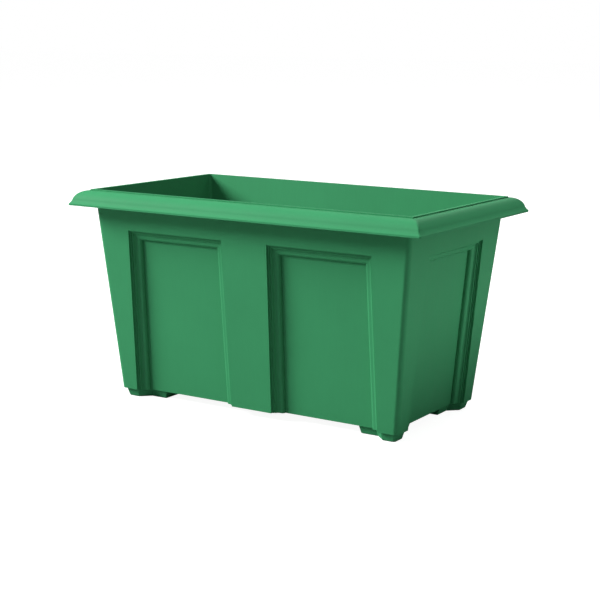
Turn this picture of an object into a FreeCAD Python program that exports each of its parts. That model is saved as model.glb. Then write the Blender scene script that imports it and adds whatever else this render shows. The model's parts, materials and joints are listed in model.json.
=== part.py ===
"""Self watering planter: a moulded trough with recessed panels, a reservoir floor, filler and water gauge.

Millimetres. The origin is the centre of the footprint on the ground, +X is along the long side, +Z is up,
and the front is the -Y side.
"""

import FreeCAD, Part
import math
import os

import Sketcher
from FreeCAD import Placement, Rotation, Vector

SHEET_NAME = "Sizes"

# Driving dimensions: alias, value in millimetres, meaning
DRIVING = [
    # trough
    ("rim_length", 600, "overall length over the lip"),
    ("rim_width", 360, "overall width over the lip"),
    ("rim_top", 325, "height of the bead that tops the rim"),
    ("base_length", 488, "outer length of the walls at their lower edge"),
    ("base_width", 248, "outer width of the walls at their lower edge"),
    ("base_height", 13, "height of the walls' lower edge above the ground"),
    ("wall_slope", 0.09375, "outward lean of the walls, per unit of height"),
    ("wall", 3, "moulded wall thickness"),
    ("corner_radius", 8, "outer radius of the upright corners"),
    ("inner_radius", 5, "inner radius of the upright corners"),
    # rim section, measured inwards from the lip and upwards
    ("lip_bottom", 301, "height of the lip's lower edge"),
    ("lip_face", 2.6, "height of the lip's upright face"),
    ("lip_thickness", 2.2, "thickness of the lip's lower edge"),
    ("flare_width", 4.5, "width of the hollow flare above the lip"),
    ("flare_top", 311, "height at which the flare turns into the shoulder"),
    ("flare_bow", 0.7, "how far the flare is hollowed"),
    ("shoulder_width", 24.5, "lip to bead"),
    ("shoulder_top", 323, "height of the shoulder beside the bead"),
    ("shoulder_bow", 4.1, "how far the shoulder is rounded out"),
    ("bead_width", 3.7, "width of the bead that tops the rim"),
    # panels
    ("pilaster_half", 34.8, "half width of the middle pilaster at the walls' lower edge"),
    ("panel_width", 179, "width of each recessed panel over its moulding, at the walls' lower edge"),
    ("end_panel_width", 183, "the same for the panel in each end wall"),
    ("panel_draft", 0.0165, "how much each side of a panel leans in, per unit of rise"),
    ("panel_rise", 254, "length of each panel up the leaning wall"),
    ("panel_depth", 15, "depth of the panels behind the wall face"),
    ("mould_width", 18.5, "width of the moulding round a panel"),
    ("step_one", 3.5, "depth of the moulding's first step"),
    ("step_two", 5.2, "depth of the moulding's second step"),
    ("fillet_width", 2.5, "width of each flat fillet of the moulding"),
    ("ogee_bottom", 13, "depth at the inner end of the ogee"),
    ("ogee_bow", 0.9, "how far each half of the ogee is bowed"),
    ("last_width", 2.5, "width of the moulding's last flat"),
    # feet
    ("foot_inset_top", 4, "foot behind the wall face, at its top"),
    ("foot_inset_bottom", 7.5, "foot behind the wall face, above its bottom chamfer"),
    ("foot_chamfer", 1.1, "chamfer round the bottom of a foot"),
    ("foot_slant", 15, "length of the slanted step in a foot's plan"),
    ("foot_tip", 3, "chamfer of a foot's outer corner"),
    ("foot_end_x", 174, "inner end of each foot along the long side"),
    ("foot_end_y", 49, "inner end of each foot along the short side"),
    ("peg_radius", 4, "radius of the pegs under the trough"),
    ("peg_length", 8, "length of the pegs under the trough"),
    ("peg_clearance", 0.05, "radial clearance of a peg in its socket"),
    ("peg_side_x", 18, "inner foot end to the peg under the long side"),
    ("peg_side_y", 33, "inner foot end to that peg, across"),
    ("peg_end_x", 43, "inner foot end to the peg under the short side"),
    ("peg_end_y", 15, "inner foot end to that peg, across"),
    # reservoir platform
    ("platform_bottom", 86, "height of the platform's underside"),
    ("platform_plate", 3, "thickness of the platform plate"),
    ("platform_gap", 1.5, "gap between platform and trough"),
    ("half_gap", 0.75, "half of the gap between the two platform halves"),
    ("column_radius", 9, "radius of a column at the trough floor"),
    ("column_spread", 3, "how much wider a column is at the plate"),
    ("column_wall", 2, "wall of the hollow columns"),
    ("column_inset", 20, "corner columns behind the trough's lower edge"),
    ("column_inner_x", 40, "inner columns along the long side"),
    ("column_inner_y", 91, "inner columns across"),
    ("plate_chamfer", 8, "chamfer of the platform's outer corners"),
    ("slot_half_width", 2, "half width of a drainage slot in the platform"),
    ("slot_half_length", 10, "half length of a drainage slot in the platform"),
    ("slot_run", 27, "first to last slot of a group"),
    ("opening_radius", 8, "corner radius of the basket opening"),
    ("collar_wall", 3, "wall of the collar round a tube"),
    ("collar_height", 10, "height of the collar above the platform"),
    # wicking baskets
    ("basket_x", 124, "basket centre along the long side"),
    ("basket_y", 14, "basket centre across"),
    ("basket_length", 118, "basket length below its flange"),
    ("basket_width", 88, "basket width below its flange"),
    ("basket_taper", 11, "how much each side leans in, top to bottom"),
    ("basket_bottom", 19, "height of the basket's underside"),
    ("basket_wall", 2, "wall of the basket"),
    ("basket_flange", 6, "width of the flange round the basket"),
    ("basket_lip", 2.5, "thickness of the basket flange"),
    ("basket_radius", 6, "corner radius of the basket"),
    ("flange_radius", 10, "corner radius of the basket flange"),
    ("basket_slot_half", 1.5, "half width of a basket slot"),
    ("basket_slot_pitch", 12, "distance from one basket slot to the next"),
    ("basket_slot_low", 27, "height of the basket slots' lower ends"),
    ("basket_slot_high", 74, "height of the basket slots' upper ends"),
    ("basket_hole_radius", 2.5, "radius of a hole in the basket floor"),
    ("basket_hole_row", 18, "distance between rows of holes"),
    ("basket_hole_run", 60, "first to last hole of a row"),
    # filler
    ("tube_y", -82, "filler and gauge tubes across the trough"),
    ("tube_radius", 18, "outer radius of the filler tube"),
    ("tube_wall", 2, "wall of the filler tube"),
    ("tube_bottom", 20, "height of the filler tube's lower end"),
    ("tube_top", 290, "height of the filler tube's upper end"),
    ("tube_port_width", 8, "width of the water ports in the filler tube"),
    ("tube_port_height", 14, "height of the water ports in the filler tube"),
    ("funnel_radius", 30, "outer radius of the funnel's mouth"),
    ("funnel_top", 300, "height of the funnel's mouth"),
    ("funnel_grip", 14, "length of the funnel's sleeve on the tube"),
    ("funnel_wall", 2.5, "wall of the funnel's sleeve"),
    ("funnel_lip", 5, "height of the funnel's upright lip"),
    ("funnel_edge", 2, "thickness of the funnel's lip"),
    ("lid_radius", 31, "radius of the filler lid"),
    ("lid_plate", 2.5, "thickness of the filler lid"),
    ("lid_gap", 0.3, "gap between funnel and lid"),
    ("lid_rim", 4, "width of the lid's raised rim"),
    ("lid_recess", 0.8, "depth of the lid's recess"),
    ("tab_half_width", 7, "half width of the lid's finger tab"),
    ("tab_half_length", 5, "half length of the lid's finger tab"),
    ("tab_radius", 3, "corner radius of the lid's finger tab"),
    ("hinge_radius", 1.5, "radius of the lid's hinge pin"),
    ("hinge_back", 36, "hinge pin behind the tube's axis"),
    ("hinge_drop", 1, "hinge pin below the funnel's mouth"),
    ("knuckle_radius", 3.4, "radius of the hinge knuckles"),
    ("ear_inner", 9, "tube axis to the inner face of a hinge ear"),
    ("ear_outer", 12, "tube axis to the outer face of a hinge ear"),
    ("ear_root", 3.2, "how far the ears' webs run in from the funnel's outer edge"),
    ("ear_web", 5, "height of the ears' webs at the funnel"),
    # gauge
    ("gauge_radius", 12, "outer radius of the gauge tube"),
    ("gauge_wall", 1.5, "wall of the gauge tube"),
    ("gauge_bottom", 18, "height of the gauge tube's lower end"),
    ("gauge_top", 282, "height of the gauge tube's upper end"),
    ("gauge_port_width", 5, "width of the water ports in the gauge tube"),
    ("gauge_port_height", 56, "height of the water ports in the gauge tube"),
    ("guide_bottom", 205, "height of the rod guide's underside"),
    ("guide_height", 4, "thickness of the rod guide"),
    ("guide_clearance", 0.06, "radial clearance of the rod in its guide"),
    ("cap_grip", 12, "length of the cap's sleeve on the tube"),
    ("cap_wall", 2, "wall of the clear cap"),
    ("cap_shoulder", 1.5, "height of the cap's slanted shoulder"),
    ("cap_rise", 10, "height of the cap's upright window"),
    ("float_radius", 9.6, "radius of the float"),
    ("float_bottom", 21, "height of the float's underside when dry"),
    ("float_height", 32, "height of the float"),
    ("float_chamfer", 3, "chamfer of the float's ends"),
    ("rod_hold", 8, "depth that the rod sits in the float and in the marker"),
    ("rod_radius", 1.5, "radius of the indicator rod"),
    ("marker_bottom", 228, "height of the marker's underside when dry"),
    ("marker_height", 14, "height of the marker"),
    ("marker_radius", 5, "radius of the marker"),
    ("marker_chamfer", 2, "chamfer of the marker's top"),
    # drain and overflow
    ("drain_radius", 11, "radius of the drain hole"),
    ("drain_clearance", 0.05, "radial clearance of the drain plug"),
    ("notch_half", 3.5, "half width of the notches for the plug's lugs"),
    ("lug_half", 3, "half width of the plug's lugs"),
    ("lug_reach", 3, "how far the lugs stand out of the plug"),
    ("lug_height", 2.9, "thickness of the lugs"),
    ("plug_head", 17, "radius of the plug's head"),
    ("plug_head_height", 5, "thickness of the plug's head"),
    ("plug_chamfer", 1, "chamfer of the plug's head"),
    ("plug_top", 3, "top of the plug above the trough's floor"),
    ("grip_half_length", 13, "half length of the plug's grip bar"),
    ("grip_half_width", 2.5, "half width of the plug's grip bar"),
    ("grip_height", 3, "height of the plug's grip bar"),
    ("grip_radius", 2, "corner radius of the plug's grip bar"),
    ("washer_radius", 16, "outer radius of the drain washer"),
    ("washer_height", 1.95, "thickness of the drain washer"),
    ("washer_seat", 2, "room for the washer between the plug's head and the trough"),
    ("overflow_height", 70, "height of the overflow hole"),
    ("overflow_radius", 7, "radius of the overflow hole"),
    ("spigot_radius", 6.5, "outer radius of the hose spigot"),
    ("spigot_length", 9, "length of the hose spigot"),
    ("spout_bore", 5, "radius of the overflow's bore"),
    ("spout_flange", 12, "radius of the spout's flange"),
    ("spout_flange_height", 2.5, "thickness of the spout's flange"),
    ("barrel_clearance", 0.1, "radial clearance of the spout's barrel in the wall"),
    ("barrel_length", 14, "length of the spout's barrel behind its flange"),
    ("seal_radius", 11, "outer radius of the overflow seal"),
    ("seal_height", 2, "thickness of the overflow seal"),
    ("nut_reach", 13, "centre to corner of the hexagonal nut"),
    ("nut_height", 5.5, "thickness of the hexagonal nut"),
]

doc = FreeCAD.newDocument("self_watering_planter")


class Size:
    """A length from the sheet: its number now, and the expression that keeps it bound to the cells."""

    def __init__(self, text, value):
        self.text = text
        self.value = value

    def __add__(self, other):
        other = as_size(other)
        return Size(f"({self.text} + {other.text})", self.value + other.value)

    def __sub__(self, other):
        other = as_size(other)
        return Size(f"({self.text} - {other.text})", self.value - other.value)

    def __rsub__(self, other):
        return as_size(other) - self

    def __mul__(self, other):
        other = as_size(other)
        return Size(f"({self.text} * {other.text})", self.value * other.value)

    def __truediv__(self, other):
        other = as_size(other)
        return Size(f"({self.text} / {other.text})", self.value / other.value)

    def __neg__(self):
        return Size(f"(0 - {self.text})", -self.value)

    __radd__ = __add__
    __rmul__ = __mul__


def as_size(number):
    """A plain number as a Size, so that the two can be mixed."""
    if isinstance(number, Size):
        return number
    return Size(f"({number:.6f})", float(number))


def make_sheet():
    """The spreadsheet of driving dimensions, and a Size for each of its aliases."""
    sheet = doc.addObject("Spreadsheet::Sheet", SHEET_NAME)
    for row, (alias, value, meaning) in enumerate(DRIVING, start=1):
        sheet.set(f"A{row}", meaning)
        sheet.set(f"B{row}", str(value))
        sheet.setAlias(f"B{row}", alias)
    doc.recompute()
    return {alias: Size(f"{SHEET_NAME}.{alias}", float(sheet.get(alias))) for alias, _, _ in DRIVING}


S = make_sheet()
NODES = []

# ---------------------------------------------------------------------------------------------
# helpers for bodies, sketches and features
# ---------------------------------------------------------------------------------------------


def new_body(name):
    """A PartDesign body that becomes one node."""
    body = doc.addObject("PartDesign::Body", name)
    body.Label = name
    NODES.append(body)
    return body


def new_sketch(body, name, role="XY_Plane", placement=None, height=None):
    """A sketch on one of the body's own origin planes, moved by a placement or raised by a Size."""
    sketch = body.newObject("Sketcher::SketchObject", name)
    plane = next(item for item in body.Origin.OriginFeatures if item.Role == role)
    sketch.AttachmentSupport = [(plane, "")]
    sketch.MapMode = "FlatFace"
    if placement is not None:
        sketch.AttachmentOffset = placement
    if height is not None:
        height = as_size(height)
        sketch.AttachmentOffset = Placement(Vector(0, 0, height.value), Rotation())
        sketch.setExpression("AttachmentOffset.Base.z", height.text)
    return sketch


def bind(item, kind, references, size):
    """A sketch constraint whose value is an expression of the sheet."""
    size = as_size(size)
    index = item.addConstraint(Sketcher.Constraint(kind, *references, size.value))
    item.setExpression(f"Constraints[{index}]", size.text)


def hold(item, edge, end, x, y):
    """Holds one end of an edge at (x, y) from the sketch's origin."""
    bind(item, "DistanceX", (-1, 1, edge, end), x)
    bind(item, "DistanceY", (-1, 1, edge, end), y)


def outline(item, corners, closed=True):
    """Straight edges through corners, or an arc where a corner has a third value: the arc's middle."""
    points = [Vector(as_size(c[0]).value, as_size(c[1]).value, 0) for c in corners]
    count = len(corners) if closed else len(corners) - 1
    ends = []
    for i in range(count):
        here = points[i]
        there = points[(i + 1) % len(points)]
        if len(corners[i]) == 3:
            middle = Vector(corners[i][2][0].value, corners[i][2][1].value, 0)
            forward = (middle - here).cross(there - middle).z > 0
            arc = Part.Arc(here, middle, there) if forward else Part.Arc(there, middle, here)
            edge = item.addGeometry(arc, False)
        else:
            edge = item.addGeometry(Part.LineSegment(here, there), False)
            forward = True
        ends.append((edge, 1 if forward else 2, 2 if forward else 1))
    for i in range(count if closed else count - 1):
        edge, _, end = ends[i]
        following, start, _ = ends[(i + 1) % count]
        item.addConstraint(Sketcher.Constraint("Coincident", edge, end, following, start))
    for i in range(count):
        hold(item, ends[i][0], ends[i][1], corners[i][0], corners[i][1])
        if len(corners[i]) == 3:
            radius = item.Geometry[ends[i][0]].Radius
            item.addConstraint(Sketcher.Constraint("Radius", ends[i][0], radius))
    if not closed:
        hold(item, ends[-1][0], ends[-1][2], corners[-1][0], corners[-1][1])
    return item


def rectangle(item, half_x, half_y, x=0, y=0):
    """A rectangle about (x, y)."""
    x = as_size(x)
    y = as_size(y)
    corners = [(x + sx * half_x, y + sy * half_y) for sx, sy in ((-1, -1), (1, -1), (1, 1), (-1, 1))]
    return outline(item, corners)


def rounded_rectangle(item, half_x, half_y, radius, x=0, y=0):
    """A rectangle about (x, y) with round corners."""
    x = as_size(x)
    y = as_size(y)
    radius = as_size(radius)
    tuck = radius * (1 - math.sqrt(0.5))
    corners = []
    for sx, sy in ((1, -1), (1, 1), (-1, 1), (-1, -1)):
        tip_x = x + sx * half_x
        tip_y = y + sy * half_y
        along_x = (tip_x - sx * radius, tip_y)
        along_y = (tip_x, tip_y - sy * radius)
        middle = (tip_x - sx * tuck, tip_y - sy * tuck)
        first, second = (along_x, along_y) if sx * sy < 0 else (along_y, along_x)
        corners += [(*first, middle), second]
    return outline(item, corners)


def circle(item, radius, x=0, y=0):
    """A circle about (x, y)."""
    radius = as_size(radius)
    x = as_size(x)
    y = as_size(y)
    edge = item.addGeometry(Part.Circle(Vector(x.value, y.value, 0), Vector(0, 0, 1), radius.value), False)
    hold(item, edge, 3, x, y)
    bind(item, "Radius", (edge,), radius)
    return item


def feature(body, kind, name, **properties):
    """A PartDesign feature, recomputed at once, so that the next one can build on it."""
    item = body.newObject(f"PartDesign::{kind}", name)
    for key, value in properties.items():
        if isinstance(value, Size):
            setattr(item, key, value.value)
            item.setExpression(key, value.text)
        else:
            setattr(item, key, value)
    doc.recompute()
    if not item.isValid():
        raise RuntimeError(f"{body.Label}: {name} failed: {item.getStatusString()}")
    return item


def pad(body, sketch, length, name, **more):
    """Material added along the sketch's normal."""
    before = volume(body)
    item = feature(body, "Pad", name, Profile=sketch, Length=as_size(length), **more)
    if volume(body) <= before:
        raise RuntimeError(f"{body.Label}: {name} adds nothing")
    return item


def pocket(body, sketch, length, name, **more):
    """Material taken away against the sketch's normal, or along it with Reversed."""
    before = volume(body)
    item = feature(body, "Pocket", name, Profile=sketch, Length=as_size(length), **more)
    if volume(body) >= before:
        raise RuntimeError(f"{body.Label}: {name} cuts nothing")
    return item


def volume(body):
    """The body's volume so far."""
    tip = body.Tip
    return tip.Shape.Volume if tip is not None and tip.isDerivedFrom("PartDesign::Feature") else 0.0


def loft(body, sketches, name, kind="AdditiveLoft"):
    """A straight-sided body through the sketches, in order."""
    return feature(body, kind, name, Profile=sketches[0], Sections=sketches[1:], Ruled=True)


def arc_middle(start, end, bow):
    """Middle of an arc between two points. A positive bow is to the left of start to end."""
    run = end[0] - start[0]
    rise = end[1] - start[1]
    chord = math.hypot(run.value, rise.value)
    x = (start[0] + end[0]) / 2 - rise * (bow / chord)
    y = (start[1] + end[1]) / 2 + run * (bow / chord)
    return x, y


# ---------------------------------------------------------------------------------------------
# trough geometry shared by several pieces
# ---------------------------------------------------------------------------------------------

SLOPE = S["wall_slope"]
LEAN = math.degrees(math.atan(SLOPE.value))
LEAN_STRETCH = 1 / math.cos(math.radians(LEAN))
SIDE_PANEL_X = S["pilaster_half"] + S["panel_width"] / 2

SMALL = 0.5  # overlap where two cuts or two additions share a face
OVERCUT = 1  # how far a cut starts and ends clear of the material
EMBED = 1  # how far an addition starts inside the material that it joins
RUNNING = 0.05  # radial clearance of a sleeve or collar on its tube
FLARE_ANGLE = math.radians(20)  # slant of the rim's inner face where the flare meets the shoulder
UNDER_BOW = 0.86  # bow of the shoulder's underside, as a part of the bow of its top

# wall name: azimuth of the outward side, from the front (-Y) towards the right (+X),
# the panels' width over their moulding, and the side that each panel is on
WALLS = {
    "front": (0, "panel_width", [-1, 1]),
    "right": (90, "end_panel_width", [0]),
    "rear": (180, "panel_width", [-1, 1]),
    "left": (270, "end_panel_width", [0]),
}


def wall_half(length, height):
    """Half of the trough's outer length or width at a height."""
    return S[length] / 2 + (height - S["base_height"]) * SLOPE


def wall_place(azimuth, depth):
    """A frame on a leaning wall: x along it, y up the lean, z outwards, sunk to a depth behind its face."""
    reach = S["base_width"] / 2 if azimuth % 180 == 0 else S["base_length"] / 2
    turn = Rotation(Vector(0, 0, 1), azimuth)
    lean = Rotation(Vector(1, 0, 0), 90 + LEAN)
    rotation = turn.multiply(lean)
    foot = turn.multVec(Vector(0, -reach.value, S["base_height"].value))
    normal = rotation.multVec(Vector(0, 0, 1))
    return Placement(foot - normal * as_size(depth).value, rotation)


# ---------------------------------------------------------------------------------------------
# planter_shell: one moulding with leaning walls, recessed panels, a rolled rim and a watertight floor
# ---------------------------------------------------------------------------------------------


def frustum(body, name, inset, bottom, radius, kind):
    """A leaning box from a height up to the rim, its faces behind the wall's by an inset."""
    sections = []
    for tag, height in (("low", bottom), ("high", S["rim_top"])):
        sketch = new_sketch(body, f"{name}_{tag}", height=height)
        half_x = wall_half("base_length", height) - inset
        half_y = wall_half("base_width", height) - inset
        sections.append(rounded_rectangle(sketch, half_x, half_y, radius))
    return loft(body, sections, name, kind)


def panel_half(width, height):
    """Half of a panel's width at a height up the leaning wall."""
    return S[width] / 2 - S["panel_draft"] * height


def panel_corners(x, width, low, high, spread):
    """A panel's tapering outline between two heights, its sides moved out by a spread."""
    wide = panel_half(width, low) + spread
    narrow = panel_half(width, high) + spread
    return [(x - wide, low), (x + wide, low), (x + narrow, high), (x - narrow, high)]


def panel_bulge(body, name, azimuth, x, width):
    """The wall's inner side behind a panel: a flat bulge with leaning flanks, one wall thick."""
    deep = S["panel_depth"] + S["wall"]
    stages = [
        (S["wall"] / 2, S["wall"]),
        (S["step_one"] + S["wall"], S["wall"]),
        (deep, S["wall"] - S["mould_width"] - SMALL),
    ]
    sections = []
    for index, (depth, spread) in enumerate(stages):
        sketch = new_sketch(body, f"{name}_{index}", placement=wall_place(azimuth, depth))
        top = S["panel_rise"] + spread
        sections.append(outline(sketch, panel_corners(x, width, as_size(SMALL), top, spread)))
    loft(body, sections, name)


def moulding_section():
    """The panel moulding inwards, as (width, depth) corners: two steps, an ogee and a last step."""
    fillet = S["fillet_width"]
    ogee_start = 2 * fillet
    ogee_end = S["mould_width"] - S["last_width"]
    middle_w = (ogee_start + ogee_end) / 2
    middle_d = (S["step_two"] + S["ogee_bottom"]) / 2
    quarter_w = (ogee_end - ogee_start) / 4
    quarter_d = (S["ogee_bottom"] - S["step_two"]) / 4
    bow = S["ogee_bow"]
    hollow = (ogee_start + quarter_w - bow, S["step_two"] + quarter_d + bow)
    crown = (middle_w + quarter_w + bow, middle_d + quarter_d - bow)
    return [
        (as_size(0), S["step_one"]),
        (fillet, S["step_one"]),
        (fillet, S["step_two"]),
        (ogee_start, S["step_two"], hollow),
        (middle_w, middle_d, crown),
        (ogee_end, S["ogee_bottom"]),
        (ogee_end, S["panel_depth"]),
        (S["mould_width"] + SMALL, S["panel_depth"]),
    ]


def panel_recess(body, name, azimuth, x, width):
    """A sunk panel, open at the wall's lower edge, with its moulding on the other three sides."""
    below = -2 * S["base_height"]
    proud = as_size(-2 * OVERCUT)
    left = x - panel_half(width, below)
    path = new_sketch(body, f"{name}_path", placement=wall_place(azimuth, 0))
    corners = panel_corners(x, width, below, S["panel_rise"], as_size(0))
    low_left, low_right, high_right, high_left = corners
    outline(path, [low_left, high_left, high_right, low_right], closed=False)
    face = wall_place(azimuth, 0)
    start = face.multVec(Vector(0, below.value, 0))
    across = face.Rotation.multiply(Rotation(Vector(1, 0, 0), -90))
    section = new_sketch(body, f"{name}_section", placement=Placement(start, across))
    sweep = []
    for inwards, depth, *middle in moulding_section():
        arc = [(left + middle[0][0], middle[0][1])] if middle else []
        sweep.append((left + inwards, depth, *arc))
    sweep.append((left + S["mould_width"] + SMALL, proud))
    sweep.append((left, proud))
    outline(section, sweep)
    before = volume(body)
    feature(body, "SubtractivePipe", f"{name}_moulding", Profile=section,
            Spine=(path, ["Edge1", "Edge2", "Edge3"]), Transition="Right corner")
    if volume(body) >= before:
        raise RuntimeError(f"{name}: the moulding cuts nothing")
    field = new_sketch(body, f"{name}_field", placement=wall_place(azimuth, proud))
    top = S["panel_rise"] - S["mould_width"]
    outline(field, panel_corners(x, width, below, top, -S["mould_width"]))
    pocket(body, field, S["panel_depth"] - proud, f"{name}_field_cut")


def rim(body):
    """The rolled rim: lip, flare, rounded shoulder and bead, hollow underneath, mitred at the corners."""
    half_x = S["rim_length"] / 2
    half_y = S["rim_width"] / 2
    path = new_sketch(body, "rim_path", height=S["lip_bottom"])
    start = (as_size(0), -half_y)
    outline(path, [start, (half_x, -half_y), (half_x, half_y), (-half_x, half_y), (-half_x, -half_y)])
    skin = S["wall"]
    low = S["lip_bottom"]
    lip = -half_y
    face_top = (lip, low + S["lip_face"])
    flare_top = (lip + S["flare_width"], S["flare_top"])
    shoulder_end = (lip + S["shoulder_width"], S["shoulder_top"])
    under_start = (flare_top[0] + skin * math.cos(FLARE_ANGLE),
                   flare_top[1] - skin * math.sin(FLARE_ANGLE))
    under_end = (shoulder_end[0], S["shoulder_top"] - skin)
    bead_end = shoulder_end[0] + S["bead_width"]
    under_bow = S["shoulder_bow"] * UNDER_BOW
    section = new_sketch(body, "rim_section", role="YZ_Plane")
    outline(section, [
        (lip, low),
        (*face_top, arc_middle(face_top, flare_top, -S["flare_bow"])),
        (*flare_top, arc_middle(flare_top, shoulder_end, S["shoulder_bow"])),
        shoulder_end,
        (shoulder_end[0], S["rim_top"]),
        (bead_end, S["rim_top"]),
        (bead_end, under_end[1]),
        (*under_end, arc_middle(under_start, under_end, under_bow)),
        under_start,
        (lip + S["lip_thickness"], low),
    ])
    feature(body, "AdditivePipe", "rim_sweep", Profile=section,
            Spine=(path, [f"Edge{i}" for i in range(1, 6)]), Transition="Right corner")


# ---------------------------------------------------------------------------------------------
# places shared by pieces that fit each other
# ---------------------------------------------------------------------------------------------

CORNERS = {"front_left": (-1, -1), "front_right": (1, -1), "rear_left": (-1, 1), "rear_right": (1, 1)}
HALVES = {"left": -1, "right": 1}
FLOOR_TOP = S["base_height"] + S["wall"]
PLATE_TOP = S["platform_bottom"] + S["platform_plate"]
BASKET_X = S["basket_x"]
OVERFLOW_UP = (S["overflow_height"] - S["base_height"]) * LEAN_STRETCH
OVERFLOW_AZIMUTH = 180
OVERFLOW_BARREL = S["overflow_radius"] - S["barrel_clearance"]
HINGE_Y = S["tube_y"] - S["hinge_back"]
HINGE_Z = S["funnel_top"] - S["hinge_drop"]


def foot_pegs(sx, sy):
    """Centres of the two pegs that hold a foot, in the corner with signs (sx, sy)."""
    near_side = (sx * (S["foot_end_x"] + S["peg_side_x"]), sy * (S["foot_end_y"] + S["peg_side_y"]))
    near_end = (sx * (S["foot_end_x"] + S["peg_end_x"]), sy * (S["foot_end_y"] + S["peg_end_y"]))
    return [near_side, near_end]


def columns(side):
    """Centres of the columns under one platform half: four corners and one behind the basket."""
    outer_x = S["base_length"] / 2 - S["column_inset"]
    outer_y = S["base_width"] / 2 - S["column_inset"]
    inner_x = S["column_inner_x"]
    inner_y = S["column_inner_y"]
    corners = [(outer_x, -outer_y), (outer_x, outer_y), (inner_x, -inner_y), (inner_x, inner_y)]
    return [(side * x, y) for x, y in corners + [(BASKET_X, inner_y)]]


def build_shell():
    """The trough: leaning walls, bulges behind the panels, the rim, and the panels cut from outside."""
    body = new_body("planter_shell")
    frustum(body, "outer", as_size(0), S["base_height"], S["corner_radius"], "AdditiveLoft")
    frustum(body, "cavity", S["wall"] * LEAN_STRETCH, FLOOR_TOP, S["inner_radius"], "SubtractiveLoft")
    for wall_name, (azimuth, width, sides) in WALLS.items():
        for side in sides:
            panel_bulge(body, f"{wall_name}_bulge_{side + 1}", azimuth, side * SIDE_PANEL_X, width)
    rim(body)
    for wall_name, (azimuth, width, sides) in WALLS.items():
        for side in sides:
            panel_recess(body, f"{wall_name}_panel_{side + 1}", azimuth, side * SIDE_PANEL_X, width)
    shell_pegs(body)
    shell_drain(body)
    shell_overflow(body)


def shell_pegs(body):
    """Pegs under the floor that plug into the feet, so that the floor has no hole for them."""
    pegs = new_sketch(body, "pegs", height=S["base_height"] + EMBED)
    for sx, sy in CORNERS.values():
        for x, y in foot_pegs(sx, sy):
            circle(pegs, S["peg_radius"], x, y)
    pad(body, pegs, S["peg_length"] + EMBED, "peg_pad", Reversed=True)


def shell_drain(body):
    """The drain hole with two notches that let the plug's lugs through."""
    above = FLOOR_TOP + OVERCUT
    depth = S["wall"] + 2 * OVERCUT
    hole = circle(new_sketch(body, "drain_hole", height=above), S["drain_radius"])
    pocket(body, hole, depth, "drain_hole_cut")
    notch = new_sketch(body, "drain_notch", height=above)
    rectangle(notch, S["drain_radius"] + S["lug_reach"] + SMALL, S["notch_half"])
    pocket(body, notch, depth, "drain_notch_cut")


def overflow_sketch(body, name, depth):
    """A sketch on the rear wall's frame, and the overflow's centre in it."""
    sketch = new_sketch(body, name, placement=wall_place(OVERFLOW_AZIMUTH, depth))
    return sketch, -1 * BASKET_X, OVERFLOW_UP


def shell_overflow(body):
    """The overflow hole through the rear right panel, below the platform."""
    sketch, x, y = overflow_sketch(body, "overflow_hole", S["panel_depth"] - OVERCUT)
    circle(sketch, S["overflow_radius"], x, y)
    pocket(body, sketch, S["wall"] + 2 * OVERCUT, "overflow_hole_cut")


# ---------------------------------------------------------------------------------------------
# feet
# ---------------------------------------------------------------------------------------------

FOOT_SKEW = 0.36  # sideways shift of a foot's slanted step per unit of its set-back
FOOT_END_LEAN = 0.75  # lean of a foot's inner ends per unit of its set-back


def foot_outline(sx, sy, inset):
    """Plan of a foot, which follows the wall's step from corner pilaster to panel, set back by an inset."""
    side_y = S["base_width"] / 2 - inset
    end_x = S["base_length"] / 2 - inset
    skew = inset * FOOT_SKEW
    panel_x = S["pilaster_half"] + S["panel_width"] + skew
    panel_y = S["end_panel_width"] / 2 + skew
    slant = S["foot_slant"]
    lean = (inset - S["foot_inset_bottom"]) * FOOT_END_LEAN
    inner_x = S["foot_end_x"] + lean
    inner_y = S["foot_end_y"] + lean
    tip = S["foot_tip"]
    points = [
        (inner_x, inner_y),
        (end_x - S["panel_depth"], inner_y),
        (end_x - S["panel_depth"], panel_y - slant),
        (end_x, panel_y),
        (end_x, side_y - tip),
        (end_x - tip, side_y),
        (panel_x, side_y),
        (panel_x - slant, side_y - S["panel_depth"]),
        (inner_x, side_y - S["panel_depth"]),
    ]
    return [(sx * x, sy * y) for x, y in points]


def build_foot(name, sx, sy):
    """A block foot, chamfered round the bottom, with two sockets for the trough's pegs."""
    body = new_body(f"foot_{name}")
    low = S["foot_inset_bottom"]
    chamfer = S["foot_chamfer"]
    levels = [(as_size(0), low + chamfer), (chamfer, low), (S["base_height"], S["foot_inset_top"])]
    sections = []
    for height, inset in levels:
        sketch = new_sketch(body, f"plan_{len(sections)}", height=height)
        sections.append(outline(sketch, foot_outline(sx, sy, inset)))
    loft(body, sections, "block")
    sockets = new_sketch(body, "sockets", height=S["base_height"] + OVERCUT)
    for x, y in foot_pegs(sx, sy):
        circle(sockets, S["peg_radius"] + S["peg_clearance"], x, y)
    pocket(body, sockets, S["peg_length"] + SMALL + OVERCUT, "socket_cut")


# ---------------------------------------------------------------------------------------------
# overflow fitting: spout from outside, seal under its flange, nut inside
# ---------------------------------------------------------------------------------------------


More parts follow.
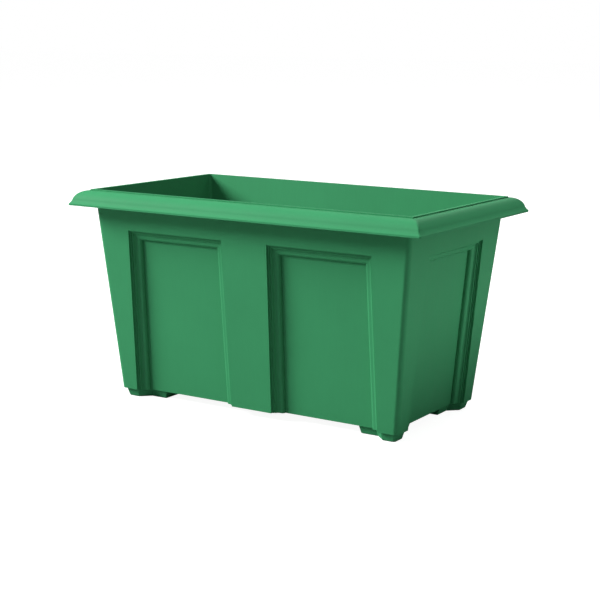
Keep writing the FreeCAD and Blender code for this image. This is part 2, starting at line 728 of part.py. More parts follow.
def build_spout():
    """Flange, hose spigot and barrel on one axis, with the bore through all of them."""
    spout = new_body("overflow_spout")
    seat = S["panel_depth"] - S["seal_height"]
    flange = S["spout_flange_height"]
    sketch, x, y = overflow_sketch(spout, "flange", seat)
    pad(spout, circle(sketch, S["spout_flange"], x, y), flange, "flange_pad")
    sketch, x, y = overflow_sketch(spout, "spigot", seat - flange + SMALL)
    pad(spout, circle(sketch, S["spigot_radius"], x, y), S["spigot_length"] + SMALL, "spigot_pad")
    sketch, x, y = overflow_sketch(spout, "barrel", seat - SMALL)
    pad(spout, circle(sketch, OVERFLOW_BARREL, x, y), S["barrel_length"], "barrel_pad", Reversed=True)
    sketch, x, y = overflow_sketch(spout, "bore", as_size(0))
    through = seat + S["barrel_length"] + OVERCUT
    pocket(spout, circle(sketch, S["spout_bore"], x, y), through, "bore_cut")


def build_seal():
    """The rubber ring between the spout's flange and the wall."""
    seal = new_body("overflow_seal")
    sketch, x, y = overflow_sketch(seal, "ring", S["panel_depth"])
    circle(sketch, S["seal_radius"], x, y)
    circle(sketch, S["overflow_radius"] + S["barrel_clearance"], x, y)
    pad(seal, sketch, S["seal_height"], "ring_pad")


def build_nut():
    """The hexagonal nut that holds the spout from inside."""
    nut = new_body("overflow_nut")
    sketch, x, y = overflow_sketch(nut, "hexagon", S["panel_depth"] + S["wall"])
    reach = S["nut_reach"]
    turns = [math.radians(60 * corner) for corner in range(6)]
    outline(sketch, [(x + reach * math.cos(turn), y + reach * math.sin(turn)) for turn in turns])
    circle(sketch, OVERFLOW_BARREL, x, y)
    pad(nut, sketch, S["nut_height"], "hexagon_pad", Reversed=True)


# ---------------------------------------------------------------------------------------------
# reservoir platform: two perforated halves on hollow columns
# ---------------------------------------------------------------------------------------------


def platform_outline(side):
    """Plan of a platform half: it follows the trough's inner wall and tucks in behind each panel bulge."""
    level = S["platform_bottom"]
    gap = S["platform_gap"]
    skin = S["wall"] + gap
    deep = S["panel_depth"] + S["wall"] + gap
    step = S["step_one"] + S["wall"] + gap
    face_x = wall_half("base_length", level)
    face_y = wall_half("base_width", level)
    rise = (level - S["base_height"]) * LEAN_STRETCH
    side_half = panel_half("panel_width", rise) + skin
    inner_edge = SIDE_PANEL_X - side_half
    outer_edge = SIDE_PANEL_X + side_half
    end_edge = panel_half("end_panel_width", rise) + skin
    flank = S["mould_width"] + gap
    chamfer = S["plate_chamfer"]
    front_half = [
        (face_x - deep, end_edge - flank),
        (face_x - step, end_edge),
        (face_x - skin, end_edge),
        (face_x - skin, face_y - skin - chamfer),
        (face_x - skin - chamfer, face_y - skin),
        (outer_edge, face_y - skin),
        (outer_edge, face_y - step),
        (outer_edge - flank, face_y - deep),
        (inner_edge + flank, face_y - deep),
        (inner_edge, face_y - step),
        (inner_edge, face_y - skin),
        (S["half_gap"], face_y - skin),
    ]
    front = [(x, -y) for x, y in reversed(front_half)]
    return [(side * x, y) for x, y in front_half + front]


# centres of the first drainage slot of each group, on the right-hand half
SLOT_GROUPS = [
    (64, 86), (150, 86),
    (12, 52), (12, 22), (12, -8), (12, -38), (12, -66),
    (198, 44), (198, 14), (198, -16), (198, -46),
    (64, -62), (154, -62),
]
SLOTS_PER_GROUP = 4


def build_platform(name, side, tube_radius):
    """A platform half with its columns, the basket opening, the tube's collar and drainage slots."""
    body = new_body(f"platform_{name}")
    base = S["platform_bottom"]
    plate = S["platform_plate"]
    pad(body, outline(new_sketch(body, "plan", height=base), platform_outline(side)), plate, "plate")
    platform_columns(body, side)
    opening = new_sketch(body, "basket_opening", height=PLATE_TOP + OVERCUT)
    rounded_rectangle(opening, S["basket_length"] / 2 + SMALL, S["basket_width"] / 2 + SMALL,
                      S["opening_radius"], side * BASKET_X, S["basket_y"])
    pocket(body, opening, plate + 2 * OVERCUT, "basket_opening_cut")
    slots = new_sketch(body, "slots", height=PLATE_TOP + OVERCUT)
    for x, y in SLOT_GROUPS:
        rectangle(slots, S["slot_half_width"], S["slot_half_length"], side * as_size(x), y)
    first = pocket(body, slots, plate + 2 * OVERCUT, "slot_cut")
    body.Tip = feature(body, "LinearPattern", "slot_row", Originals=[first], Direction=(slots, ["H_Axis"]),
                       Length=S["slot_run"], Occurrences=SLOTS_PER_GROUP, Reversed=side < 0)
    rise = S["collar_height"]
    collar = new_sketch(body, "collar", height=PLATE_TOP - EMBED)
    circle(collar, tube_radius + S["collar_wall"], side * BASKET_X, S["tube_y"])
    pad(body, collar, rise + EMBED, "collar_pad")
    hole = new_sketch(body, "tube_hole", height=PLATE_TOP + rise + OVERCUT)
    circle(hole, tube_radius + RUNNING, side * BASKET_X, S["tube_y"])
    pocket(body, hole, rise + plate + 2 * OVERCUT, "tube_hole_cut")


def platform_columns(body, side):
    """Tapered columns from the plate to the trough's floor, hollow from below."""
    start = S["platform_bottom"] + EMBED
    length = start - FLOOR_TOP
    taper = math.degrees(math.atan(S["column_spread"].value / length.value))
    legs = new_sketch(body, "legs", height=start)
    hollows = new_sketch(body, "leg_hollows", height=FLOOR_TOP)
    for x, y in columns(side):
        circle(legs, S["column_radius"] + S["column_spread"], x, y)
        circle(hollows, S["column_radius"] - S["column_wall"], x, y)
    pad(body, legs, length, "leg_pad", Reversed=True, TaperAngle=-taper)
    pocket(body, hollows, length - 2 * EMBED, "leg_hollow_cut", Reversed=True)


def basket_form(body, tag, side, low, inset, kind):
    """The basket's tapering form, set in by an inset, from a height up to its rim."""
    half_x = S["basket_length"] / 2 - inset
    half_y = S["basket_width"] / 2 - inset
    sections = []
    for level, lean in ((low, S["basket_taper"]), (PLATE_TOP + S["basket_lip"], as_size(0))):
        sketch = new_sketch(body, f"{tag}_{len(sections)}", height=level)
        sections.append(rounded_rectangle(sketch, half_x - lean, half_y - lean, S["basket_radius"],
                                          side * BASKET_X, S["basket_y"]))
    loft(body, sections, tag, kind)


def basket_slots(body, side, role, count):
    """A row of upright slots cut right through the basket, seen along the normal of a plane."""
    along_y = role == "XZ_Plane"
    x = side * BASKET_X
    y = S["basket_y"]
    tag = "side" if along_y else "end"
    offset = -y if along_y else x
    slots = new_sketch(body, f"{tag}_slots", role=role)
    slots.AttachmentOffset = Placement(Vector(0, 0, offset.value), Rotation())
    slots.setExpression("AttachmentOffset.Base.z", offset.text)
    run = S["basket_slot_pitch"] * (count - 1)
    first = (x if along_y else y) - run / 2
    low = S["basket_slot_low"]
    high = S["basket_slot_high"]
    rectangle(slots, S["basket_slot_half"], (high - low) / 2, first, (low + high) / 2)
    through = S["basket_length"] + 2 * S["basket_flange"]
    cut = pocket(body, slots, through, f"{tag}_slot_cut", Midplane=True)
    body.Tip = feature(body, "LinearPattern", f"{tag}_slot_row", Originals=[cut],
                       Direction=(slots, ["H_Axis"]), Length=run, Occurrences=count)


SIDE_SLOTS = 7
END_SLOTS = 5
FLOOR_HOLES = 5


def build_basket(name, side):
    """A slotted basket that hangs in the platform and dips soil into the water."""
    body = new_body(f"wick_basket_{name}")
    x = side * BASKET_X
    y = S["basket_y"]
    skin = S["basket_wall"]
    over = S["basket_flange"]
    basket_form(body, "outside", side, S["basket_bottom"], as_size(0), "AdditiveLoft")
    flange = new_sketch(body, "flange", height=PLATE_TOP)
    rounded_rectangle(flange, S["basket_length"] / 2 + over, S["basket_width"] / 2 + over,
                      S["flange_radius"], x, y)
    pad(body, flange, S["basket_lip"], "flange_pad")
    basket_form(body, "inside", side, S["basket_bottom"] + skin, skin, "SubtractiveLoft")
    basket_slots(body, side, "XZ_Plane", SIDE_SLOTS)
    basket_slots(body, side, "YZ_Plane", END_SLOTS)
    holes = new_sketch(body, "floor_holes", height=S["basket_bottom"] + skin + OVERCUT)
    run = S["basket_hole_run"]
    for row in (-1, 0, 1):
        circle(holes, S["basket_hole_radius"], x - run / 2, y + row * S["basket_hole_row"])
    cut = pocket(body, holes, skin + 2 * OVERCUT, "floor_hole_cut")
    body.Tip = feature(body, "LinearPattern", "floor_hole_row", Originals=[cut],
                       Direction=(holes, ["H_Axis"]), Length=run, Occurrences=FLOOR_HOLES)


# ---------------------------------------------------------------------------------------------
# filler: tube, funnel, hinged lid and its pin
# ---------------------------------------------------------------------------------------------



def tube(body, radius, wall, bottom, top, x, y):
    """A plain upright tube."""
    ring = new_sketch(body, "ring", height=bottom)
    circle(ring, radius, x, y)
    circle(ring, radius - wall, x, y)
    pad(body, ring, top - bottom, "tube_pad")


def water_ports(body, bottom, x, y, width, height, radius):
    """Two crossed cuts at a tube's lower end that let water in."""
    reach = radius + OVERCUT
    for tag, half_x, half_y in (("x", reach, width / 2), ("y", width / 2, reach)):
        ports = new_sketch(body, f"ports_{tag}", height=bottom - OVERCUT)
        rectangle(ports, half_x, half_y, x, y)
        pocket(body, ports, height + OVERCUT, f"ports_{tag}_cut", Reversed=True)


def turned(body, name, profile, x, y):
    """A revolved profile of (radius, height) corners about the upright axis at (x, y)."""
    place = Placement(Vector(x.value, 0, -y.value), Rotation())
    sketch = new_sketch(body, name, role="XZ_Plane", placement=place)
    sketch.setExpression("AttachmentOffset.Base.x", x.text)
    sketch.setExpression("AttachmentOffset.Base.z", (-y).text)
    outline(sketch, profile)
    feature(body, "Revolution", f"{name}_turn", Profile=sketch, ReferenceAxis=(sketch, ["V_Axis"]), Angle=360)


def bar_across(body, name, radius, half_length, x):
    """A round bar along X on the lid's hinge axis, centred at x."""
    sketch = circle(new_sketch(body, name, role="YZ_Plane", height=x), radius, HINGE_Y, HINGE_Z)
    pad(body, sketch, 2 * half_length, f"{name}_pad", Midplane=True)


def hole_across(body, name, radius, half_length, x):
    """A round hole along X on the lid's hinge axis, centred at x."""
    sketch = circle(new_sketch(body, name, role="YZ_Plane", height=x), radius, HINGE_Y, HINGE_Z)
    pocket(body, sketch, 2 * half_length, f"{name}_cut", Midplane=True)


def hinge_ear(funnel, tag, start):
    """An ear for the lid's pin, on a web that runs into the funnel's lip."""
    thick = S["ear_outer"] - S["ear_inner"]
    ear = new_sketch(funnel, f"ear_{tag}", role="YZ_Plane", height=start)
    circle(ear, S["knuckle_radius"], HINGE_Y, HINGE_Z)
    pad(funnel, ear, thick, f"ear_pad_{tag}")
    web = new_sketch(funnel, f"web_{tag}", role="YZ_Plane", height=start)
    root = S["tube_y"] - S["funnel_radius"] + S["ear_root"]
    tuck = S["knuckle_radius"] - S["hinge_radius"]
    outline(web, [
        (HINGE_Y, HINGE_Z),
        (HINGE_Y - tuck, HINGE_Z - tuck),
        (root, HINGE_Z - S["ear_web"]),
        (root, HINGE_Z),
    ])
    pad(funnel, web, thick, f"web_pad_{tag}")


def build_fill_tube():
    """The filler tube with water ports at its foot."""
    fill_tube = new_body("fill_tube")
    x = BASKET_X
    y = S["tube_y"]
    tube(fill_tube, S["tube_radius"], S["tube_wall"], S["tube_bottom"], S["tube_top"], x, y)
    water_ports(fill_tube, S["tube_bottom"], x, y, S["tube_port_width"], S["tube_port_height"],
                S["tube_radius"])


def build_funnel():
    """The funnel: a sleeve on the tube, a cone, an upright lip and two hinge ears."""
    funnel = new_body("fill_funnel")
    x = BASKET_X
    grip = S["tube_radius"] + RUNNING
    sleeve = grip + S["funnel_wall"]
    bore = S["tube_radius"] - S["tube_wall"]
    mouth = S["funnel_radius"]
    inside = mouth - S["funnel_edge"]
    top = S["funnel_top"]
    turned(funnel, "cup", [
        (grip, S["tube_top"] - S["funnel_grip"]),
        (sleeve, S["tube_top"] - S["funnel_grip"]),
        (sleeve, S["tube_top"] - S["funnel_wall"]),
        (mouth, top - S["funnel_lip"]),
        (mouth, top),
        (inside, top),
        (inside, top - S["funnel_lip"] + EMBED),
        (bore, S["tube_top"]),
        (grip, S["tube_top"]),
    ], x, S["tube_y"])
    hinge_ear(funnel, "left", x - S["ear_outer"])
    hinge_ear(funnel, "right", x + S["ear_inner"])
    hole_across(funnel, "eye", S["hinge_radius"], S["ear_outer"] + OVERCUT, x)


def build_pin():
    """The pin that the lid turns on."""
    bar_across(new_body("lid_pin"), "rod", S["hinge_radius"], S["ear_outer"], BASKET_X)


def build_lid():
    """The filler lid: a dished disc with a finger tab, an arm and a knuckle on the pin."""
    lid = new_body("filler_lid")
    x = BASKET_X
    y = S["tube_y"]
    radius = S["lid_radius"]
    plate = S["lid_plate"]
    low = S["funnel_top"] + S["lid_gap"]
    high = low + plate
    pad(lid, circle(new_sketch(lid, "disc", height=low), radius, x, y), plate, "disc_pad")
    tab = new_sketch(lid, "tab", height=low)
    rounded_rectangle(tab, S["tab_half_width"], S["tab_half_length"], S["tab_radius"], x, y + radius + EMBED)
    pad(lid, tab, plate, "tab_pad")
    dish = circle(new_sketch(lid, "dish", height=high), radius - S["lid_rim"], x, y)
    pocket(lid, dish, S["lid_recess"], "dish_cut")
    knuckle_half = S["ear_inner"] - S["lid_gap"]
    arm = new_sketch(lid, "arm", role="YZ_Plane", height=x)
    joint = y - radius + 2 * EMBED
    outline(arm, [(HINGE_Y, low), (joint, low), (joint, high), (HINGE_Y, high)])
    pad(lid, arm, 2 * knuckle_half, "arm_pad", Midplane=True)
    bar_across(lid, "knuckle", S["knuckle_radius"], knuckle_half, x)
    hole_across(lid, "bore", S["hinge_radius"] + RUNNING, knuckle_half + OVERCUT, x)


# ---------------------------------------------------------------------------------------------
# water gauge: tube, guide, clear cap, float, rod and marker
# ---------------------------------------------------------------------------------------------

GAUGE_X = -1 * BASKET_X
GAUGE_BORE = S["gauge_radius"] - S["gauge_wall"]
FLOAT_TOP = S["float_bottom"] + S["float_height"]
QUARTER_MIDDLE = math.sqrt(0.5)


def build_gauge_tube():
    """The gauge tube, slotted over the depth of the reservoir."""
    gauge_tube = new_body("gauge_tube")
    radius = S["gauge_radius"]
    y = S["tube_y"]
    tube(gauge_tube, radius, S["gauge_wall"], S["gauge_bottom"], S["gauge_top"], GAUGE_X, y)
    water_ports(gauge_tube, S["gauge_bottom"], GAUGE_X, y, S["gauge_port_width"], S["gauge_port_height"],
                radius)


def build_guide():
    """The ring inside the gauge tube that keeps the rod upright."""
    guide = new_body("gauge_guide")
    ring = new_sketch(guide, "ring", height=S["guide_bottom"])
    circle(ring, GAUGE_BORE - RUNNING, GAUGE_X, S["tube_y"])
    circle(ring, S["rod_radius"] + S["guide_clearance"], GAUGE_X, S["tube_y"])
    pad(guide, ring, S["guide_height"], "ring_pad")


def build_cap():
    """The clear domed cap in which the marker shows."""
    cap = new_body("gauge_cap")
    grip = S["gauge_radius"] + RUNNING
    outside = S["gauge_radius"] + S["cap_wall"]
    shoulder = S["gauge_top"]
    crown = shoulder + S["cap_rise"]
    window = GAUGE_BORE + S["cap_wall"]
    outer_middle = (window * QUARTER_MIDDLE, crown + window * QUARTER_MIDDLE)
    inner_middle = (GAUGE_BORE * QUARTER_MIDDLE, crown + GAUGE_BORE * QUARTER_MIDDLE)
    turned(cap, "dome", [
        (grip, shoulder - S["cap_grip"]),
        (outside, shoulder - S["cap_grip"]),
        (outside, shoulder),
        (window, shoulder + S["cap_shoulder"]),
        (window, crown, outer_middle),
        (as_size(0), crown + window),
        (as_size(0), crown + GAUGE_BORE, inner_middle),
        (GAUGE_BORE, crown),
        (GAUGE_BORE, shoulder),
        (grip, shoulder),
    ], GAUGE_X, S["tube_y"])


def build_float():
    """The float, with a blind hole for the rod in its top."""
    low = S["float_bottom"]
    girth = S["float_radius"]
    chamfer = S["float_chamfer"]
    turned(new_body("float"), "buoy", [
        (as_size(0), low),
        (girth - chamfer, low),
        (girth, low + chamfer),
        (girth, FLOAT_TOP - chamfer),
        (girth - chamfer, FLOAT_TOP),
        (S["rod_radius"], FLOAT_TOP),
        (S["rod_radius"], FLOAT_TOP - S["rod_hold"]),
        (as_size(0), FLOAT_TOP - S["rod_hold"]),
    ], GAUGE_X, S["tube_y"])


def build_rod():
    """The rod that joins the float to the marker."""
    rod = new_body("float_rod")
    start = FLOAT_TOP - S["rod_hold"]
    stick = circle(new_sketch(rod, "stick", height=start), S["rod_radius"], GAUGE_X, S["tube_y"])
    pad(rod, stick, S["marker_bottom"] + S["rod_hold"] - start, "stick_pad")


def build_marker():
    """The marker that shows the water level under the clear cap."""
    base = S["marker_bottom"]
    top = base + S["marker_height"]
    radius = S["marker_radius"]
    turned(new_body("level_marker"), "bead", [
        (S["rod_radius"], base),
        (radius, base),
        (radius, top - S["marker_chamfer"]),
        (radius - S["marker_chamfer"], top),
        (as_size(0), top),
        (as_size(0), base + S["rod_hold"]),
        (S["rod_radius"], base + S["rod_hold"]),
    ], GAUGE_X, S["tube_y"])


# ---------------------------------------------------------------------------------------------
# drain plug: quarter-turn bayonet plug with its washer
# ---------------------------------------------------------------------------------------------


DRAIN_X = as_size(0)
DRAIN_Y = as_size(0)
HEAD_TOP = S["base_height"] - S["washer_seat"]
LUG_GAP = 0.1  # gap between the trough's floor and the plug's lugs


def build_plug():
    """The plug: a head with a grip bar, a shaft through the floor and two lugs above it."""
    plug = new_body("drain_plug")
    shaft = S["drain_radius"] - S["drain_clearance"]
    head = S["plug_head"]
    chamfer = S["plug_chamfer"]
    head_bottom = HEAD_TOP - S["plug_head_height"]
    plug_top = FLOOR_TOP + S["plug_top"]
    turned(plug, "stem", [
        (as_size(0), head_bottom),
        (head - chamfer, head_bottom),
        (head, head_bottom + chamfer),
        (head, HEAD_TOP),
        (shaft, HEAD_TOP),
        (shaft, plug_top),
        (as_size(0), plug_top),
    ], DRAIN_X, DRAIN_Y)
    grip = new_sketch(plug, "grip", height=head_bottom + EMBED)
    rounded_rectangle(grip, S["grip_half_length"], S["grip_half_width"], S["grip_radius"])
    pad(plug, grip, S["grip_height"] + EMBED, "grip_pad", Reversed=True)
    lugs = new_sketch(plug, "lugs", height=FLOOR_TOP + LUG_GAP)
    rectangle(lugs, S["lug_half"], S["drain_radius"] + S["lug_reach"])
    pad(plug, lugs, S["lug_height"], "lug_pad")


def build_washer():
    """The rubber washer between the plug's head and the trough."""
    washer = new_body("drain_washer")
    ring = new_sketch(washer, "ring", height=HEAD_TOP)
    circle(ring, S["washer_radius"], DRAIN_X, DRAIN_Y)
    circle(ring, S["drain_radius"] + 2 * RUNNING, DRAIN_X, DRAIN_Y)
    pad(washer, ring, S["washer_height"], "ring_pad")


# ---------------------------------------------------------------------------------------------
# build everything, check it and write the files
# ---------------------------------------------------------------------------------------------


def check_document():
    """Stops on any failed object or bad shape."""
    for item in doc.Objects:
        if "Invalid" in item.State or "Error" in item.State:
            raise RuntimeError(f"{item.Label} is {item.State}")
    for body in NODES:
        shape = body.Shape
        if shape.isNull() or not shape.isValid() or not shape.Solids:
            raise RuntimeError(f"{body.Label} has no valid solid")


def write_parts():
    """One STEP file per node."""
    os.makedirs("parts", exist_ok=True)
    for body in NODES:
        body.Shape.exportStep(f"parts/{body.Label}.step")
        print(f"{body.Label:24s} {len(body.Shape.Solids)} solid  {body.Shape.Volume / 1000:9.2f} cm3")


build_shell()
for foot_name, foot_signs in CORNERS.items():
    build_foot(foot_name, *foot_signs)
build_spout()
build_seal()
build_nut()
build_platform("left", HALVES["left"], S["gauge_radius"])
build_platform("right", HALVES["right"], S["tube_radius"])
for half_name, half_side in HALVES.items():
    build_basket(half_name, half_side)
build_fill_tube()
build_funnel()
build_pin()
build_lid()
build_gauge_tube()
build_guide()
build_cap()
build_float()
build_rod()
build_marker()
build_plug()
build_washer()
doc.recompute()
check_document()
write_parts()
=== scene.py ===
"""Self watering planter: materials, rounded edges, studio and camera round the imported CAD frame. Metres."""
import json
import math

import bpy
from mathutils import Matrix, Vector

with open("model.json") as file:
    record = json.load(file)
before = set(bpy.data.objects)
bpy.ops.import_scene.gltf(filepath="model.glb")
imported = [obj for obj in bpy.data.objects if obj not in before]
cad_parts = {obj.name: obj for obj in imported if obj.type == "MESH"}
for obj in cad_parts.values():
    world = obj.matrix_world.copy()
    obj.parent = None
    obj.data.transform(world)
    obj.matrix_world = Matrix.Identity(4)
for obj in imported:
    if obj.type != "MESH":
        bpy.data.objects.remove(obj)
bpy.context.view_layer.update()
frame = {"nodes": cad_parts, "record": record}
nodes = frame["nodes"]

MM = 0.001

# ------------------------------------------------------------------ shader node helpers


def new_material(name):
    """A material with an empty node tree, its output and its Principled shader."""
    material = bpy.data.materials.new(name)
    material.use_nodes = True
    tree = material.node_tree
    tree.nodes.clear()
    output = tree.nodes.new("ShaderNodeOutputMaterial")
    shader = tree.nodes.new("ShaderNodeBsdfPrincipled")
    tree.links.new(shader.outputs["BSDF"], output.inputs["Surface"])
    return material, tree, shader


def object_coordinates(tree, scale=(1, 1, 1)):
    """Object coordinates, stretched by a scale."""
    coordinates = tree.nodes.new("ShaderNodeTexCoord")
    mapping = tree.nodes.new("ShaderNodeMapping")
    mapping.inputs["Scale"].default_value = scale
    tree.links.new(coordinates.outputs["Object"], mapping.inputs["Vector"])
    return mapping.outputs["Vector"]


def noise(tree, vector, scale, detail=3.0, roughness=0.55):
    """Noise over a vector, as its factor output."""
    texture = tree.nodes.new("ShaderNodeTexNoise")
    texture.inputs["Scale"].default_value = scale
    texture.inputs["Detail"].default_value = detail
    texture.inputs["Roughness"].default_value = roughness
    tree.links.new(vector, texture.inputs["Vector"])
    return texture.outputs["Fac"]


def ramp(tree, value, stops):
    """A colour ramp over a value. stops are (position, colour)."""
    node = tree.nodes.new("ShaderNodeValToRGB")
    elements = node.color_ramp.elements
    while len(elements) < len(stops):
        elements.new(0.5)
    for element, (position, colour) in zip(elements, stops):
        element.position = position
        element.color = (*colour, 1.0)
    tree.links.new(value, node.inputs["Fac"])
    return node.outputs["Color"]


def remap(tree, value, low, high, to_low, to_high):
    """A value mapped from one range to another."""
    node = tree.nodes.new("ShaderNodeMapRange")
    node.inputs["From Min"].default_value = low
    node.inputs["From Max"].default_value = high
    node.inputs["To Min"].default_value = to_low
    node.inputs["To Max"].default_value = to_high
    tree.links.new(value, node.inputs["Value"])
    return node.outputs["Result"]


def combine(tree, operation, first, second):
    """Two values joined by a math operation. The second may be a number."""
    node = tree.nodes.new("ShaderNodeMath")
    node.operation = operation
    tree.links.new(first, node.inputs[0])
    if isinstance(second, (int, float)):
        node.inputs[1].default_value = second
    else:
        tree.links.new(second, node.inputs[1])
    return node.outputs["Value"]


def bump(tree, height, distance, strength, onto=None):
    """A bump from a height value, over another bump if there is one."""
    node = tree.nodes.new("ShaderNodeBump")
    node.inputs["Strength"].default_value = strength
    node.inputs["Distance"].default_value = distance
    tree.links.new(height, node.inputs["Height"])
    if onto is not None:
        tree.links.new(onto, node.inputs["Normal"])
    return node.outputs["Normal"]


# ------------------------------------------------------------------ materials


def shaded(colour, factor):
    """A colour made lighter or darker."""
    return tuple(min(1.0, channel * factor) for channel in colour)


def moulded_plastic(name, colour, rough, specular, grain=(1, 1, 1), depth=0.12 * MM, spread=0.05):
    """Moulded plastic: slow flow shades, a fine eggshell and a drawn grain from the mould."""
    material, tree, shader = new_material(name)
    flow = noise(tree, object_coordinates(tree), 7.0, 4.0)
    drawn = noise(tree, object_coordinates(tree, grain), 260.0, 3.0, 0.6)
    eggshell = noise(tree, object_coordinates(tree), 1900.0, 2.0, 0.5)
    mixed = combine(tree, "ADD", combine(tree, "MULTIPLY", flow, 0.7), combine(tree, "MULTIPLY", drawn, 0.3))
    stops = [(0.3, shaded(colour, 1 - spread)), (0.5, colour), (0.7, shaded(colour, 1 + spread))]
    tree.links.new(ramp(tree, mixed, stops), shader.inputs["Base Color"])
    tree.links.new(remap(tree, drawn, 0.3, 0.7, rough - 0.05, rough + 0.05), shader.inputs["Roughness"])
    fine = bump(tree, eggshell, 0.03 * MM, 0.5)
    tree.links.new(bump(tree, drawn, depth, 0.6, fine), shader.inputs["Normal"])
    shader.inputs["Specular IOR Level"].default_value = specular
    return material


def rubber():
    """Matt black rubber with a dusty bloom."""
    material, tree, shader = new_material("rubber_black")
    bloom = noise(tree, object_coordinates(tree), 90.0, 5.0)
    stops = [(0.35, (0.012, 0.012, 0.013)), (0.65, (0.024, 0.024, 0.025))]
    tree.links.new(ramp(tree, bloom, stops), shader.inputs["Base Color"])
    tree.links.new(remap(tree, bloom, 0.3, 0.7, 0.62, 0.8), shader.inputs["Roughness"])
    grain = noise(tree, object_coordinates(tree), 2200.0, 2.0)
    tree.links.new(bump(tree, grain, 0.04 * MM, 0.5), shader.inputs["Normal"])
    return material


def clear_plastic():
    """Clear moulded plastic with faint flow lines."""
    material, tree, shader = new_material("clear_plastic")
    flow = noise(tree, object_coordinates(tree, (1, 1, 0.3)), 120.0, 3.0)
    tree.links.new(ramp(tree, flow, [(0.3, (0.86, 0.91, 0.89)), (0.7, (0.93, 0.96, 0.95))]),
                   shader.inputs["Base Color"])
    tree.links.new(remap(tree, flow, 0.3, 0.7, 0.04, 0.1), shader.inputs["Roughness"])
    tree.links.new(bump(tree, flow, 0.05 * MM, 0.2), shader.inputs["Normal"])
    shader.inputs["Transmission Weight"].default_value = 0.92
    shader.inputs["IOR"].default_value = 1.49
    return material


def foam():
    """Off-white closed-cell foam of the float."""
    material, tree, shader = new_material("float_white")
    cells = tree.nodes.new("ShaderNodeTexVoronoi")
    cells.inputs["Scale"].default_value = 700.0
    tree.links.new(object_coordinates(tree), cells.inputs["Vector"])
    distance = cells.outputs["Distance"]
    tree.links.new(ramp(tree, distance, [(0.1, (0.62, 0.61, 0.56)), (0.6, (0.78, 0.78, 0.73))]),
                   shader.inputs["Base Color"])
    tree.links.new(remap(tree, distance, 0.0, 0.7, 0.7, 0.55), shader.inputs["Roughness"])
    tree.links.new(bump(tree, distance, 0.15 * MM, 0.5), shader.inputs["Normal"])
    return material


def brushed_steel():
    """Drawn steel wire of the hinge pin, with scratches along it."""
    material, tree, shader = new_material("pin_steel")
    scratches = noise(tree, object_coordinates(tree, (0.06, 1, 1)), 2400.0, 4.0)
    tree.links.new(ramp(tree, scratches, [(0.3, (0.42, 0.42, 0.43)), (0.7, (0.62, 0.62, 0.63))]),
                   shader.inputs["Base Color"])
    tree.links.new(remap(tree, scratches, 0.3, 0.7, 0.22, 0.42), shader.inputs["Roughness"])
    tree.links.new(bump(tree, scratches, 0.02 * MM, 0.5), shader.inputs["Normal"])
    shader.inputs["Metallic"].default_value = 1.0
    return material


GREEN = (0.042, 0.268, 0.112)
UPRIGHT_GRAIN = (1.0, 1.0, 0.035)
MATERIALS = {
    "moulded_green": moulded_plastic("moulded_green", GREEN, 0.58, 0.07, UPRIGHT_GRAIN),
    "black_plastic": moulded_plastic("black_plastic", (0.021, 0.023, 0.023), 0.48, 0.4, spread=0.25),
    "marker_red": moulded_plastic("marker_red", (0.6, 0.022, 0.016), 0.3, 0.5, depth=0.04 * MM),
    "rubber_black": rubber(),
    "clear_plastic": clear_plastic(),
    "float_white": foam(),
    "pin_steel": brushed_steel(),
}
slot_of = {row["node"]: row["material_slot"] for row in frame["record"]["subparts"]}


# ------------------------------------------------------------------ the rim's rounded mitre corners

RIM_HALF_X = 300 * MM
RIM_HALF_Y = 180 * MM
LIP_BOTTOM = 301 * MM
RIM_HEIGHT = 22 * MM  # lip's lower edge to the top of the shoulder
RIM_CREST = 22.6 * MM  # across from the lip to just past the crest of the shoulder
SHOULDER_CENTRE_UP = 2.9 * MM  # near the height of the shoulder arc's centre above the lip's lower edge
SHOULDER_MIDDLE = 17.7 * MM  # a radius between the shoulder's outer and inner faces
MITRE_WIDTH = 3.2 * MM
MITRE_SEGMENTS = 5
MITRE_FADE = 0.4  # share of the width that is lost between the lip and the crest
ON_MITRE = 0.05 * MM  # how far an edge's end may be off the mitre
OFF_LIP = 0.2 * MM  # edges lower than this belong to the lip's underside


